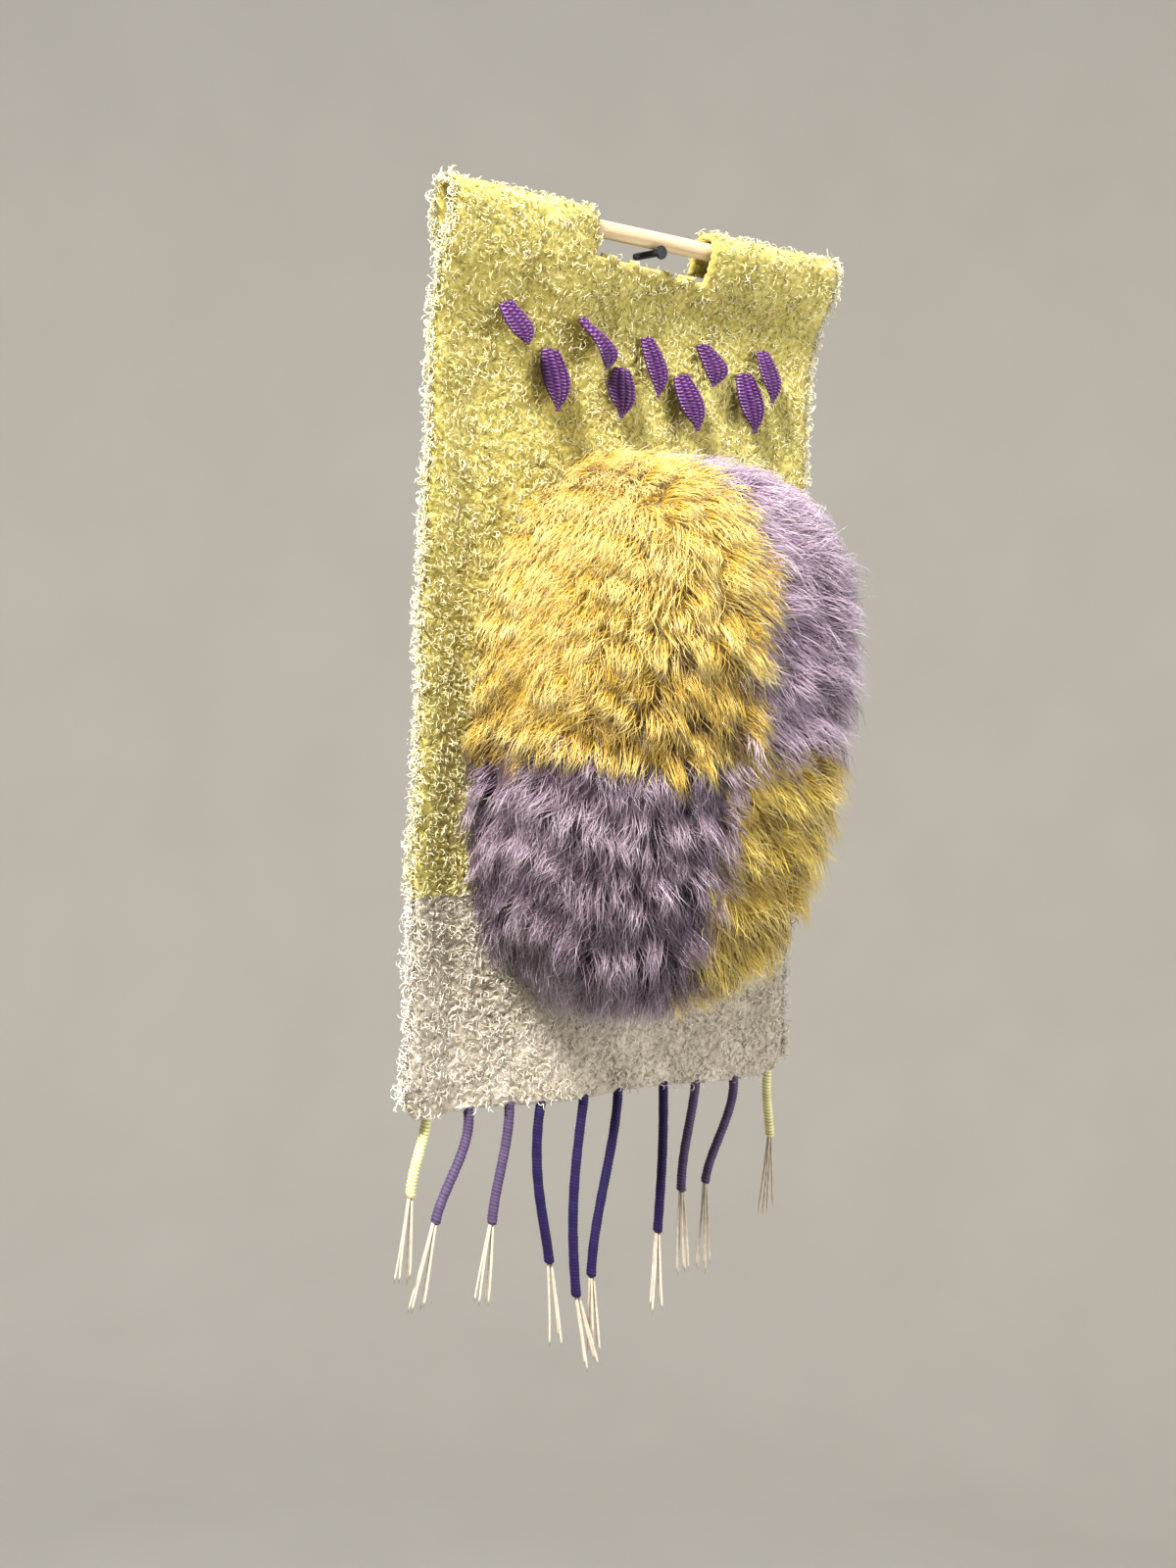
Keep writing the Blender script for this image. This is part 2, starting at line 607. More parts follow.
def build_cloth(finish):
    """The flat cloth as a grid of its rows, cut to shape and hung over the rod."""
    columns = round(CLOTH_WIDTH / COLUMN_STEP)
    rows = round(LEFT_LENGTH / ROW_STEP)
    bm = bmesh.new()
    bmesh.ops.create_grid(bm, x_segments=columns, y_segments=rows, size=0.5)
    for vert in bm.verts:
        x = CLOTH_CENTRE_X + vert.co.x * CLOTH_WIDTH
        for edge_x in (NOTCH_LEFT_X, NOTCH_RIGHT_X):
            if abs(x - edge_x) < COLUMN_STEP / 2:
                x = edge_x
        vert.co = (x, (vert.co.y + 0.5) * LEFT_LENGTH, 0.0)
    centres = np.array([face.calc_center_median() for face in bm.faces])
    kept = on_cloth(centres[:, 0], centres[:, 1])
    cut = [face for face, stays in zip(bm.faces, kept) if not stays]
    bmesh.ops.delete(bm, geom=cut, context="FACES")
    flat = np.array([vert.co for vert in bm.verts])
    height = weave_height(flat[:, 0], flat[:, 1], np.random.default_rng(3))
    near_edge = np.minimum(flat[:, 0] - CLOTH_LEFT_X, CLOTH_RIGHT_X - flat[:, 0])
    hung = hang(flat[:, 0], flat[:, 1]) + cloth_normal(flat[:, 0], flat[:, 1]) * height[:, None]
    selvedge = 0.0011 * np.abs(np.sin(math.pi * flat[:, 1] / WEFT_PITCH)) * (near_edge < COLUMN_STEP / 2)
    hung[:, 0] += selvedge * np.sign(flat[:, 0])
    for vert, place in zip(bm.verts, hung):
        vert.co = place
    bmesh.ops.recalc_face_normals(bm, faces=bm.faces)
    bm.verts.index_update()
    thin = [vert.index for vert in bm.verts if vert.is_boundary]
    cloth = mesh_piece("boucle_cloth", bm, finish)
    group = cloth.vertex_groups.new(name="full thickness")
    group.add(range(len(cloth.data.vertices)), 1.0, "REPLACE")
    group.add(thin, 0.5, "REPLACE")
    solid = cloth.modifiers.new("thickness", "SOLIDIFY")
    solid.thickness = SHEET_THICKNESS
    solid.offset = 0.0
    solid.use_rim = True
    solid.vertex_group = "full thickness"
    return cloth


def under_pile(x, z):
    """Whether a place on the cloth is well inside the dome's foot."""
    rise = z - PILE_CENTRE_Z
    across = (x - PILE_CENTRE_X - PILE_LEAN * rise) / (PILE_HALF_WIDTH * (1 + PILE_WIDER_ABOVE * rise))
    up = rise / np.where(rise > 0, PILE_UP, PILE_DOWN)
    return np.abs(across) ** PILE_PLAN_POWER + np.abs(up) ** PILE_PLAN_POWER < 0.88**PILE_PLAN_POWER


def cloth_places(chance, count, lowest, highest):
    """Places on the cloth's outer face, a share of them along its side edges."""
    x = chance.uniform(CLOTH_LEFT_X, CLOTH_RIGHT_X, count)
    length = chance.uniform(lowest, highest, count)
    edge = chance.random(count) < 0.14
    side = np.where(chance.random(count) < 0.6, CLOTH_LEFT_X, CLOTH_RIGHT_X)
    x = np.where(edge, side, x)
    keep = on_cloth(x, length) & ~under_pile(x, CLOTH_BOTTOM_Z + length)
    return x[keep], length[keep]


def build_loops(name, finish, seed, count, lowest, highest, longest):
    """Curls of boucle yarn that rise off the cloth, wind about and come back towards it."""
    chance = np.random.default_rng(seed)
    x, length = cloth_places(chance, count, lowest, highest)
    count = len(x)
    normal = cloth_normal(x, length)
    on_edge = np.abs(x - CLOTH_CENTRE_X) > CLOTH_WIDTH / 2 - 1e-6
    outward = np.zeros((count, 3))
    outward[:, 0] = np.sign(x)
    edge_normal = unit(outward + normal * chance.uniform(-0.5, 0.9, (count, 1)))
    face_side = np.where(chance.random(count) < 0.05, -1.0, 1.0)[:, None]
    normal = np.where(on_edge[:, None], edge_normal, normal * face_side)
    base = hang(x, length) + normal * (SHEET_THICKNESS / 2 - 0.0003)
    way = unit(np.cross(normal, chance.normal(size=(count, 3))))
    side = np.cross(normal, way)
    reach = chance.uniform(SHORTEST_LOOP, longest, count) * np.where(on_edge, 1.15, 1.0)
    sweep = chance.uniform(1.5, 4.8, count) * np.where(chance.random(count) < 0.5, -1.0, 1.0)
    steps = np.linspace(0.0, 1.0, 5)
    angle = sweep[:, None] * steps
    radius = (reach / sweep)[:, None]
    height = chance.uniform(0.0006, 0.0021, count) * np.where(on_edge, 1.5, 1.0)
    rise = height[:, None] * np.sin(math.pi * steps * chance.uniform(0.55, 0.95, count)[:, None])
    centres = base[:, None, :] + (radius * np.sin(angle))[..., None] * way[:, None, :]
    centres += (radius * (1 - np.cos(angle)))[..., None] * side[:, None, :]
    centres += rise[..., None] * normal[:, None, :]
    centres[..., 1] = np.minimum(centres[..., 1], WALL_GAP_Y)
    thick = chance.uniform(*LOOP_RADII, count)[:, None] * np.array([1.0, 1.0, 1.0, 0.85, 0.0])
    points, faces = strands(centres, thick, 3, unit(chance.normal(size=(count, 3))))
    tone = 0.22 + 0.62 * rise / 0.0018 + chance.normal(0.0, 0.13, (count, 1))
    return array_piece(name, points, faces, strand_values(tone, 3), [finish])


def pile_point(share, height, angle):
    """A point of the dome: share of the full radius, height off the cloth and angle about it."""
    across = np.sign(np.cos(angle)) * np.abs(np.cos(angle)) ** (2 / PILE_PLAN_POWER) * share
    up = np.sign(np.sin(angle)) * np.abs(np.sin(angle)) ** (2 / PILE_PLAN_POWER) * share
    rise = up * np.where(up > 0, PILE_UP, PILE_DOWN)
    out = height * (1 + PILE_FULLER_ABOVE * rise)
    x = PILE_CENTRE_X + across * PILE_HALF_WIDTH * (1 + PILE_WIDER_ABOVE * rise) + PILE_LEAN * rise
    z = PILE_CENTRE_Z + rise - PILE_SAG * (height / PILE_DEPTH) ** 2
    return np.stack([x, PILE_BASE_Y - out, z], axis=-1)


def pile_level(points):
    """1 on the dome's surface, more outside it and less inside."""
    out = PILE_BASE_Y - points[..., 1]
    rise = points[..., 2] - PILE_CENTRE_Z
    for _ in range(3):
        height = out / (1 + PILE_FULLER_ABOVE * rise)
        rise = points[..., 2] - PILE_CENTRE_Z + PILE_SAG * (height / PILE_DEPTH) ** 2
    middle = PILE_CENTRE_X + PILE_LEAN * rise
    across = (points[..., 0] - middle) / (PILE_HALF_WIDTH * (1 + PILE_WIDER_ABOVE * rise))
    up = rise / np.where(rise > 0, PILE_UP, PILE_DOWN)
    plan = np.abs(across) ** PILE_PLAN_POWER + np.abs(up) ** PILE_PLAN_POWER
    plan = plan ** (PILE_PROFILE_POWER / PILE_PLAN_POWER)
    crown = np.maximum(height - PILE_WIDEST, 0.0) / (PILE_DEPTH - PILE_WIDEST)
    return (plan + crown**PILE_PROFILE_POWER) ** (1 / PILE_PROFILE_POWER)


def pile_slope(points):
    step = 0.0005
    parts = []
    for axis in range(3):
        shift = np.zeros(3)
        shift[axis] = step
        parts.append((pile_level(points + shift) - pile_level(points - shift)) / (2 * step))
    return np.stack(parts, axis=-1)


def on_pile(points):
    """The nearest points of the dome's surface, and the directions off it."""
    for _ in range(3):
        slope = pile_slope(points)
        steepness = np.sum(slope * slope, axis=-1, keepdims=True)
        points = points - slope * (pile_level(points) - 1)[..., None] / np.maximum(steepness, 1.0)
        points[..., 1] = np.minimum(points[..., 1], PILE_BASE_Y - 0.001)
    return points, unit(pile_slope(points))


def pile_flow(points, normals):
    """The way that locks lie, forward off the top and then out to the sides and down, and how flat."""
    pull = np.zeros_like(points)
    pull[..., 0] = (points[..., 0] - PARTING_X) / PILE_HALF_WIDTH * FLOW_OUT
    pull[..., 1] = 0.22 - 0.44 * smoothstep((points[..., 2] + 0.128) / 0.036)
    pull[..., 2] = (points[..., 2] - PARTING_Z) / PILE_UP * 0.9 - FLOW_DOWN
    pull -= normals * np.sum(pull * normals, axis=-1, keepdims=True)
    flatness = np.clip(np.linalg.norm(pull, axis=-1) / 0.45, 0.0, 1.0)
    return unit(pull), flatness


def pile_profile(steps):
    """(share of the full radius, height) from the rim on the cloth to the crown."""
    low = [(1 - (1 - PILE_WAIST) * (1 - share) ** 2, PILE_WIDEST * share) for share in (0.0, 0.3, 0.65)]
    angles = np.linspace(0.0, math.pi / 2, steps)
    radius = np.abs(np.cos(angles)) ** (2 / PILE_PROFILE_POWER)
    height = PILE_WIDEST + (PILE_DEPTH - PILE_WIDEST) * np.sin(angles) ** (2 / PILE_PROFILE_POWER)
    return low + list(zip(radius, height))


def lock_roots(chance):
    """Even but irregular places on the whole dome, a lock's pitch apart."""
    profile = np.array(pile_profile(60))
    stations = chance.uniform(0, len(profile) - 1, 60000)
    share = np.interp(stations, np.arange(len(profile)), profile[:, 0])
    height = np.interp(stations, np.arange(len(profile)), profile[:, 1])
    candidates = pile_point(share, height, chance.uniform(0, 2 * math.pi, len(share)))
    cells = {}
    roots = []
    for point in candidates:
        cell = tuple(np.floor(point / LOCK_PITCH).astype(int))
        near = False
        for dx in (-1, 0, 1):
            for dy in (-1, 0, 1):
                for dz in (-1, 0, 1):
                    for other in cells.get((cell[0] + dx, cell[1] + dy, cell[2] + dz), ()):
                        if np.linalg.norm(other - point) < LOCK_PITCH:
                            near = True
        if not near:
            cells.setdefault(cell, []).append(point)
            roots.append(point)
    return np.array(roots)


def smooth_part(points):
    """1 where the pile lies smooth, on the shoulder at its upper left, and 0 where it is tufted."""
    return smoothstep((points[..., 2] + 0.155 - 0.45 * points[..., 0]) / 0.055)


def ledges(points):
    """Tufts stand in uneven rows: 1 at the lower edge of a row and -1 in the gap under it."""
    drift = 1.3 * np.sin(points[..., 0] * 95 + 1.0) + 0.8 * np.sin(points[..., 0] * 37 - points[..., 1] * 60)
    rows = np.sin(2 * math.pi * (points[..., 2] + 0.2 * points[..., 0]) / LEDGE_PITCH + drift)
    return rows * (1 - smooth_part(points))


def lock_lines(chance, roots, lift):
    """Centre lines of the locks: from below the surface out to it, then along its flow."""
    length = chance.uniform(*FIBRE_LENGTHS, len(roots))
    stray = chance.normal(0.0, STRAY_ANGLE, len(roots))
    lifts = lift * chance.uniform(0.0, 2.2, len(roots)) * (1 - 0.7 * smooth_part(roots))
    lifts += LEDGE_LIFT * np.maximum(ledges(roots), 0.0)
    place, normal = on_pile(roots.copy())
    lines, frames = [], []
    for station in range(LOCK_STATIONS):
        t = station / (LOCK_STATIONS - 1)
        flow, flatness = pile_flow(place, normal)
        side = np.cross(normal, flow)
        flow = unit(flow * np.cos(stray)[:, None] + side * np.sin(stray)[:, None])
        sink = SINK + SINK_LEFT * np.maximum(-normal[:, 0], 0.0)
        upright = 0.004 * (1 - flatness) * t
        depth = ROOT_DEPTH * (0.45 + 0.55 * flatness)
        height = upright - depth * (1 - t) ** 1.7 + lifts * t**1.5 - sink
        lines.append(place + normal * height[:, None])
        frames.append((flow, np.cross(normal, flow), normal))
        step = length / (LOCK_STATIONS - 1) * (0.7 + 0.45 * t) * (0.3 + 0.7 * flatness)
        place, normal = on_pile(place + flow * step[:, None])
    lines = np.stack(lines, axis=1)
    droop = np.linspace(0.0, 1.0, LOCK_STATIONS) ** 2 * 0.0028
    lines[:, :, 2] -= droop
    side = np.stack([frame[1] for frame in frames], axis=1)
    off = np.stack([frame[2] for frame in frames], axis=1)
    return lines, side, off


def build_pile(quarter, roots, core, seed):
    """One quarter of the dome: its backing core and its fibres, gathered into locks."""
    name, node, slot, _, _, fibres, lift, clumping = quarter
    chance = np.random.default_rng(seed)
    lines, side, off = lock_lines(chance, roots, lift)
    locks = len(roots)
    pick = chance.integers(0, locks, fibres)
    t = np.linspace(0.0, 1.0, LOCK_STATIONS)
    smooth = smooth_part(roots)[pick][:, None]
    clump = clumping * (1 - 0.75 * smooth) * chance.uniform(0.75, 1.1, (fibres, 1))
    gather = 1 - clump * smoothstep(t * 1.1)
    spread = LOCK_PITCH * 0.62
    across = chance.normal(0.0, spread, (fibres, 1)) * gather
    depth = chance.normal(0.0, spread * 0.40, (fibres, 1)) * gather
    frizz = chance.normal(0.0, FRIZZ, (fibres, LOCK_STATIONS)) * t
    wisp = (chance.random((fibres, 1)) < WISP_SHARE) * chance.uniform(*WISP_LIFTS, (fibres, 1)) * t**2
    wild = (chance.random((fibres, 1)) < WILD_SHARE) * (1 - 0.6 * smooth)
    across = across + wild * chance.normal(0.0, WILD_SPREAD, (fibres, 1)) * t**1.5
    frizz = frizz * (1 + 0.8 * wild)
    shorten = chance.uniform(0.72, 1.08, (fibres, 1, 1))
    line = lines[pick]
    line = line[:, :1] + (line - line[:, :1]) * shorten
    centres = line + side[pick] * (across + frizz)[..., None]
    centres += off[pick] * (depth + wisp + frizz[:, ::-1] * 0.5)[..., None]
    centres[..., 1] = np.minimum(centres[..., 1], PILE_BASE_Y + 0.0002)
    thick = chance.uniform(*FIBRE_RADII, (fibres, 1)) * (1 - 0.25 * wild)
    thick = thick * np.array([1.2, 1.1, 0.75, 0.0])
    points, faces = strands(centres, thick, 3, unit(chance.normal(size=(fibres, 3))))
    own = chance.normal(0.0, 0.10, (locks, 1))[pick] + chance.normal(0.0, 0.09, (fibres, 1))
    gap = LEDGE_SHADE * np.minimum(ledges(roots), 0.0)[pick][:, None]
    shade = 0.06 + 0.82 * t**1.1 + own * (0.4 + 0.6 * t) + gap + 0.16 * smooth + 0.12 * wild
    if name == "lower_lilac_pile":
        shade = shade + EDGE_LIGHT * smoothstep((line[..., 2] - EDGE_LIGHT_Z) / EDGE_LIGHT_DEPTH) - 0.02
    parts = [(points, faces, strand_values(shade, 3), 0), core]
    points, faces, shade, slots = join_arrays(parts)
    finish = pile_finish(name.replace("_", " "), *PILE_COLOURS[name])
    piece = array_piece(name, points, faces, shade, [finish], slots)
    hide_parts(node)
    return piece


def seam_sides(points):
    """How far points are right of and above the roots' seams; at the top the lilac laps to the left."""
    lap = 0.014 * smoothstep((points[:, 2] + 0.110) / 0.028)
    right = points[:, 0] - SEAM_X - ROOT_SEAM_SHIFT_X - SEAM_SLOPE * (points[:, 2] - SEAM_Z) + lap
    above = points[:, 2] - SEAM_Z - ROOT_SEAM_SHIFT_Z
    return right, above


def core_quarter(side_x, side_z):
    """The dense backing under the fibres: the dome drawn in, cut to one quarter and closed."""
    bm = bmesh.new()
    profile = [(radius * CORE_SCALE, height * CORE_SCALE) for radius, height in pile_profile(14)]
    verts = [bm.verts.new((radius, height, 0.0)) for radius, height in profile]
    edges = [bm.edges.new(pair) for pair in zip(verts, verts[1:])]
    bmesh.ops.spin(
        bm, geom=verts + edges, cent=(0, 0, 0), axis=(0, 1, 0), angle=2 * math.pi, steps=72, use_merge=True
    )
    bmesh.ops.remove_doubles(bm, verts=bm.verts, dist=1e-4)
    bmesh.ops.holes_fill(bm, edges=[edge for edge in bm.edges if edge.is_boundary], sides=0)
    for vert in bm.verts:
        radius = math.hypot(vert.co.x, vert.co.z)
        vert.co = Vector(pile_point(radius, vert.co.y, math.atan2(vert.co.z, vert.co.x)))
    seam = Vector((SEAM_X + ROOT_SEAM_SHIFT_X, 0.0, SEAM_Z))
    across = Vector((1.0, 0.0, -SEAM_SLOPE)).normalized() * side_x
    level = Vector((0.0, 0.0, SEAM_Z + ROOT_SEAM_SHIFT_Z))
    for point, normal in ((seam, across), (level, Vector((0, 0, side_z)))):
        geometry = bm.verts[:] + bm.edges[:] + bm.faces[:]
        cut = bmesh.ops.bisect_plane(
            bm, geom=geometry, dist=1e-6, plane_co=point, plane_no=normal, clear_inner=True
        )
        rim = [item for item in cut["geom_cut"] if isinstance(item, bmesh.types.BMEdge)]
        bmesh.ops.holes_fill(bm, edges=rim, sides=0)
    bmesh.ops.recalc_face_normals(bm, faces=bm.faces)
    bmesh.ops.triangulate(bm, faces=bm.faces)
    bm.verts.index_update()
    points = np.array([vert.co for vert in bm.verts])
    faces = np.array([[vert.index for vert in face.verts] for face in bm.faces])
    bm.free()
    return points, faces, 0.24 + 0.36 * smooth_part(points), 0


def leaf_half_width(share):
    along = min(share * 0.86 + 0.14, 1.0)
    body = max(math.sin(math.pi * along), 0.0) ** (0.62 + 0.36 * float(smoothstep((share - 0.35) / 0.5)))
    knob = 0.10 * math.exp(-(((share - 0.975) / 0.025) ** 2))
    return max(body, 0.08) + knob


def build_leaf(number, x, top_z, length, width, turn, lift, roll, bow, finish):
    """A blade needle-woven over its warps: each column of stitches is set half a stitch on."""
    bm = bmesh.new()
    bmesh.ops.create_grid(bm, x_segments=LEAF_ACROSS, y_segments=LEAF_ALONG, size=0.5)
    shades = []
    for vert in bm.verts:
        t, share = 2 * vert.co.x, 0.5 - vert.co.y
        half = width / 2 * leaf_half_width(share)
        column = (t + 1) / 2 * LEAF_COLUMNS
        rib = abs(math.sin(math.pi * column))
        stitch = math.sin(2 * math.pi * share * length / LEAF_STITCH + math.pi * (int(column) % 2))
        narrow = min(half / (width / 4), 1.0)
        height = narrow * (0.0006 * rib + 0.00042 * stitch * (0.3 + rib))
        arch = LEAF_ARCH * (1 - t * t) * half / (width / 2)
        vert.co = (t * half, -0.0008 - arch - height, -share * length)
        hollow = 0.20 * float(smoothstep(0.5 - 0.8 * t)) * float(smoothstep(share * 2.0))
        shades.append(0.17 + 0.32 * rib + 0.50 * stitch * (0.3 + 0.7 * rib) - hollow)
    rolled = Matrix.Rotation(math.radians(roll), 3, "Z")
    turned = Matrix.Rotation(math.radians(-turn), 3, "Y")
    bmesh.ops.rotate(bm, verts=bm.verts, cent=(0, 0, 0), matrix=turned @ rolled)
    for vert in bm.verts:
        fall = min(max(-vert.co.z / length, 0.0), 1.0)
        vert.co.y -= lift * (0.9 * smoothstep(fall) + 0.1 * fall)
        vert.co.x += x + bow * math.sin(math.pi * fall)
        vert.co.z += top_z
    places = np.array([vert.co for vert in bm.verts])
    closest = np.min(front_depth(places[:, 0], places[:, 2]) - 0.0022 - places[:, 1])
    for vert in bm.verts:
        vert.co.y -= 0.0009 - closest
    bmesh.ops.recalc_face_normals(bm, faces=bm.faces)
    leaf = mesh_piece(f"woven_leaf_{number}", bm, finish)
    add_shade(leaf.data, np.array(shades))
    solid = leaf.modifiers.new("thickness", "SOLIDIFY")
    solid.thickness = 0.0009
    solid.offset = -1.0
    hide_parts(f"leaf_{number}")
    return leaf


def build_tassel(number, x, drop, shift, bow, warp_drop, warp_shift, tip_y, warps, slot, finishes):
    """A bundle of warps wound with thread, turn by turn, that opens into its loose warp ends."""
    chance = np.random.default_rng(40 + number)
    tucked = 0.003
    stations = int((drop + tucked) / TURN_PITCH * 2)
    t = np.linspace(-tucked / drop, 1.0, stations)
    side = shift * smoothstep(t) + bow * np.sin(math.pi * np.clip(t, 0, 1))
    forward = (tip_y - TASSEL_ROOT_Y) * 0.35 * t
    top = hem_z(np.array(x)) - 0.0006
    centre = np.stack([x + side, TASSEL_ROOT_Y + forward, top - drop * t], axis=-1)
    turns = np.arange(stations) % 2
    radius = WRAP_RADIUS * (1.0 - 0.16 * turns + 0.02 * np.sin(t * 47) + chance.normal(0, 0.012, stations))
    from_end = np.minimum(t - t[0], t[-1] - t) * drop
    radius *= np.sqrt(np.clip(from_end / 0.0011 + 0.12, 0.0, 1.0))
    reference = np.array([[1.0, 0.0, 0.2]])
    points, faces = strands(centre[None], radius[None], 12, reference, tilt=TURN_PITCH * 0.35)
    tone = 0.72 - 0.60 * turns + chance.normal(0, 0.06, stations)
    parts = [(points, faces, strand_values(tone[None], 12), 0)]
    end = centre[-1]
    steps = np.linspace(0.0, 1.0, 12)
    for warp in range(warps):
        turn = 2 * math.pi * (warp + 0.35) / warps
        own_drop = warp_drop * chance.uniform(0.86, 1.0)
        fan = 0.0007 + 0.0026 * steps
        kink = 0.00045 * np.sin(steps * chance.uniform(2, 4) + chance.uniform(0, 6)) * steps
        line = np.stack([
            end[0] + math.cos(turn) * fan + warp_shift * steps + kink,
            end[1] + math.sin(turn) * fan * 0.8 + (tip_y - end[1]) * steps,
            end[2] + 0.002 - (own_drop + 0.002) * steps,
        ], axis=-1)
        thick = WARP_RADIUS * np.where(steps < 1, 1.0 - 0.15 * steps, 0.0)
        points, faces = strands(line[None], thick[None], 6, np.array([[0.9, 0.3, 0.1]]))
        parts.append((points, faces, np.full(len(points), 0.5), 1))
    points, faces, shade, slots = join_arrays(parts)
    tassel = array_piece(f"wrapped_tassel_{number}", points, faces, shade, finishes, slots)
    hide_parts(f"tassel_{number}")
    return tassel


def build_dowel(finish):
    bm = bmesh.new()
    turned = Matrix.Rotation(math.pi / 2, 4, "Y")
    bmesh.ops.create_cone(
        bm,
        cap_ends=True,
        segments=40,
        radius1=ROD_RADIUS,
        radius2=ROD_RADIUS,
        depth=ROD_LENGTH,
        matrix=turned,
    )
    rims = [edge for edge in bm.edges if any(len(face.verts) > 4 for face in edge.link_faces)]
    bmesh.ops.bevel(bm, geom=rims, offset=0.0006, affect="EDGES", segments=3, profile=0.5, material=-1)
    long_edges = [edge for edge in bm.edges if edge.calc_length() > ROD_LENGTH / 2]
    bmesh.ops.subdivide_edges(bm, edges=long_edges, cuts=24, use_grid_fill=True)
    for vert in bm.verts:
        angle = math.atan2(vert.co.z, vert.co.y)
        swell = 1 - 0.010 * (1 + math.sin(vert.co.x * 90 + 2 * angle))
        vert.co.y *= swell
        vert.co.z *= swell
    bmesh.ops.translate(bm, verts=bm.verts, vec=(CLOTH_CENTRE_X, -ROD_DEPTH, ROD_Z))
    dowel = mesh_piece("wooden_dowel", bm, finish, 40.0)
    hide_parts("rod")
    return dowel


def build_nail(finish):
    bm = bmesh.new()
    head_y = -NAIL_LENGTH + 0.0015
    profile = (
        (0.0, 0.0),
        (NAIL_RADIUS, 0.0),
        (NAIL_RADIUS, head_y + 0.0014),
        (NAIL_RADIUS * 1.08, head_y + 0.0008),
        (NAIL_RADIUS * 1.40, head_y + 0.0001),
        (NAIL_HEAD_RADIUS * 0.93, head_y),
        (NAIL_HEAD_RADIUS, head_y - 0.0003),
        (NAIL_HEAD_RADIUS, -NAIL_LENGTH + 0.0004),
        (NAIL_HEAD_RADIUS * 0.94, -NAIL_LENGTH + 0.0001),
        (NAIL_HEAD_RADIUS * 0.72, -NAIL_LENGTH),
        (0.0, -NAIL_LENGTH),
    )
    verts = [bm.verts.new((radius, y, 0.0)) for radius, y in profile]
    edges = [bm.edges.new(pair) for pair in zip(verts, verts[1:])]
    bmesh.ops.spin(
        bm, geom=verts + edges, cent=(0, 0, 0), axis=(0, 1, 0), angle=2 * math.pi, steps=36, use_merge=True
    )
    bmesh.ops.remove_doubles(bm, verts=bm.verts, dist=1e-5)
    bmesh.ops.recalc_face_normals(bm, faces=bm.faces)
    nail = mesh_piece("round_nail", bm, finish, 50.0)
    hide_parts("nail")
    return nail


def build_camera():
    camera = bpy.data.cameras.new("camera")
    camera.lens = CAMERA_LENS
    camera.sensor_width = 36.0
    camera.sensor_fit = "AUTO"
    camera.clip_start = 0.01
    holder = bpy.data.objects.new("camera", camera)
    bpy.context.scene.collection.objects.link(holder)
    yaw, pitch, roll = (math.radians(value) for value in (CAMERA_YAW, CAMERA_PITCH, CAMERA_ROLL))
    level = Vector((math.sin(yaw), math.cos(yaw), 0.0))
    right = Vector((math.cos(yaw), -math.sin(yaw), 0.0))
    up = Vector((0.0, 0.0, 1.0))
    ahead = level * math.cos(pitch) + up * math.sin(pitch)
    above = up * math.cos(pitch) - level * math.sin(pitch)
    x_axis = right * math.cos(roll) + above * math.sin(roll)
    y_axis = above * math.cos(roll) - right * math.sin(roll)
    turned = Matrix((x_axis, y_axis, -ahead)).transposed().to_4x4()
    holder.matrix_world = Matrix.Translation(CAMERA_PLACE) @ turned
    bpy.context.scene.camera = holder


def add_light(name, place, size, power, colour):
    light = bpy.data.lights.new(name, "AREA")
    light.shape = "DISK"
    light.size = size
    light.energy = power
    light.color = colour
    holder = bpy.data.objects.new(name, light)
    bpy.context.scene.collection.objects.link(holder)
    aim = Vector(LIGHT_TARGET) - Vector(place)
    holder.matrix_world = Matrix.Translation(place) @ aim.to_track_quat("-Z", "Y").to_matrix().to_4x4()


def build_studio():
    world = bpy.data.worlds.new("studio")
    world.use_nodes = True
    background = world.node_tree.nodes["Background"]
    background.inputs["Color"].default_value = WORLD_COLOUR
    background.inputs["Strength"].default_value = WORLD_STRENGTH
    bpy.context.scene.world = world
    bpy.context.scene.view_settings.view_transform = "Standard"
    for light in LIGHTS:
        add_light(*light)
    build_stage()


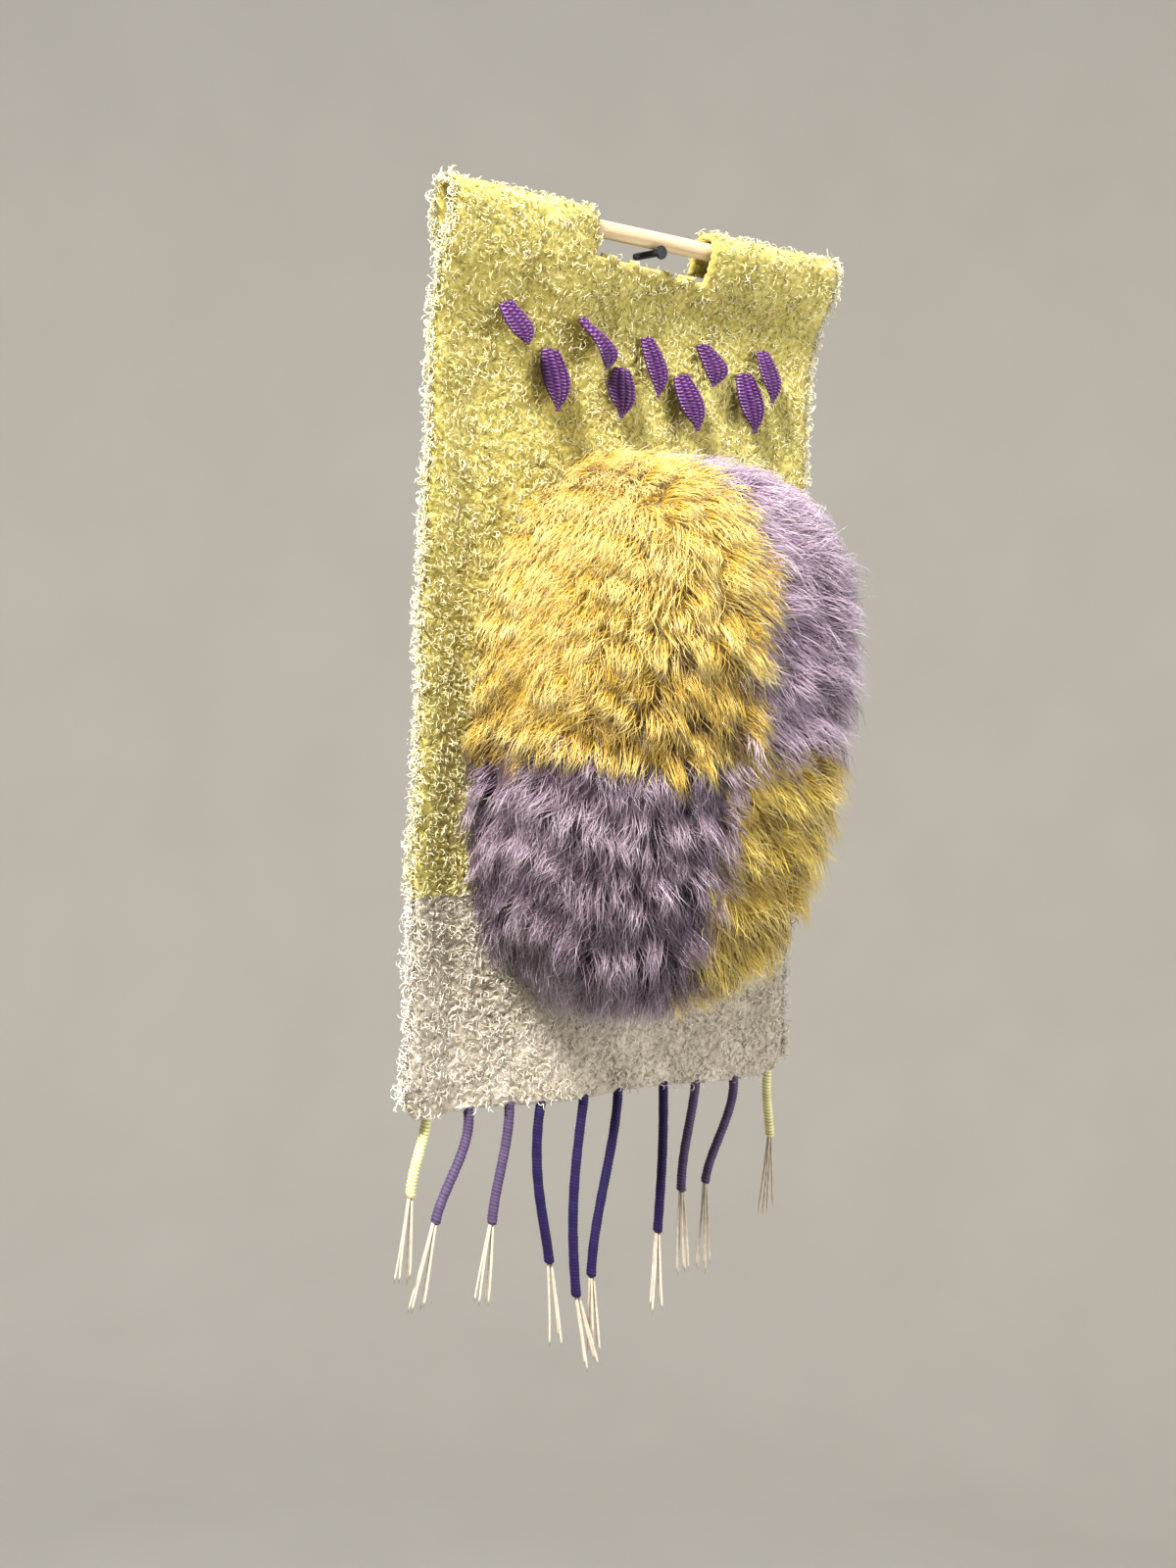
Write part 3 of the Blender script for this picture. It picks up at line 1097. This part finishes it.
def build_stage():
    """A round pale floor that sweeps up on every side, well away from the hanging."""
    bm = bmesh.new()
    places = [(0.0, 0.0), (2.0, 0.0), (STAGE_RADIUS - STAGE_SWEEP, 0.0)]
    for step in range(1, 13):
        angle = math.pi / 2 * step / 12
        out = STAGE_RADIUS - STAGE_SWEEP * (1 - math.sin(angle))
        places.append((out, STAGE_SWEEP * (1 - math.cos(angle))))
    places.append((STAGE_RADIUS, STAGE_HEIGHT))
    verts = [bm.verts.new((radius, 0.0, FLOOR_Z + z)) for radius, z in places]
    edges = [bm.edges.new(pair) for pair in zip(verts, verts[1:])]
    bmesh.ops.spin(
        bm, geom=verts + edges, cent=(0, 0, 0), axis=(0, 0, 1), angle=2 * math.pi, steps=96, use_merge=True
    )
    bmesh.ops.remove_doubles(bm, verts=bm.verts, dist=1e-4)
    bmesh.ops.recalc_face_normals(bm, faces=bm.faces)
    mesh = bpy.data.meshes.new("floor")
    bm.to_mesh(mesh)
    bm.free()
    mesh.shade_smooth()
    mesh.materials.append(floor_finish())
    floor = bpy.data.objects.new("floor", mesh)
    bpy.context.scene.collection.objects.link(floor)


def main():
    build_camera()
    build_studio()
    cloth = build_cloth(cloth_finish())
    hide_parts("cloth")
    yellow = loop_finish("yellow yarn", (0.28, 0.225, 0.030), (0.72, 0.645, 0.23), (0.98, 0.955, 0.71))
    beige = loop_finish("beige yarn", (0.30, 0.245, 0.17), (0.66, 0.59, 0.465), (0.95, 0.91, 0.82))
    band = BAND_TOP_Z - CLOTH_BOTTOM_Z
    loops = [
        build_loops("upper_yellow_loops", yellow, 11, 8200, UPPER_LOOPS_FROM, LEFT_LENGTH, 0.0060),
        build_loops("side_yellow_loops", yellow, 13, 9600, band, UPPER_LOOPS_FROM, 0.0060),
        build_loops("beige_loops", beige, 12, 4600, 0.0, band, 0.0070),
    ]
    roots = lock_roots(np.random.default_rng(5))
    right, above = seam_sides(roots)
    pile = []
    for seed, quarter in enumerate(QUARTERS):
        side_x, side_z = quarter[3:5]
        own = roots[(right * side_x > 0) & (above * side_z > 0)]
        pile.append(build_pile(quarter, own, core_quarter(side_x, side_z), 20 + seed))
    purple = leaf_finish()
    leaves = [build_leaf(number, *leaf, purple) for number, leaf in enumerate(LEAVES, start=1)]
    cotton = cotton_finish()
    wraps = {name: wrap_finish(name, colour) for name, colour in WRAP_COLOURS.items()}
    fringe = []
    for number, tassel in enumerate(TASSELS, start=1):
        fringe.append(build_tassel(number, *tassel, [wraps[tassel[-1]], cotton]))
    dowel = build_dowel(pine_finish())
    build_nail(nail_finish())
    tab_widths = (NOTCH_LEFT_X - CLOTH_LEFT_X, CLOTH_RIGHT_X - NOTCH_RIGHT_X)
    floor_length = float(notch_floor_length(0.0))
    flat_area = CLOTH_WIDTH * floor_length + tab_widths[0] * (LEFT_LENGTH - floor_length)
    flat_area += tab_widths[1] * (RIGHT_LENGTH - floor_length)
    loops + pile + leaves + fringe


main()
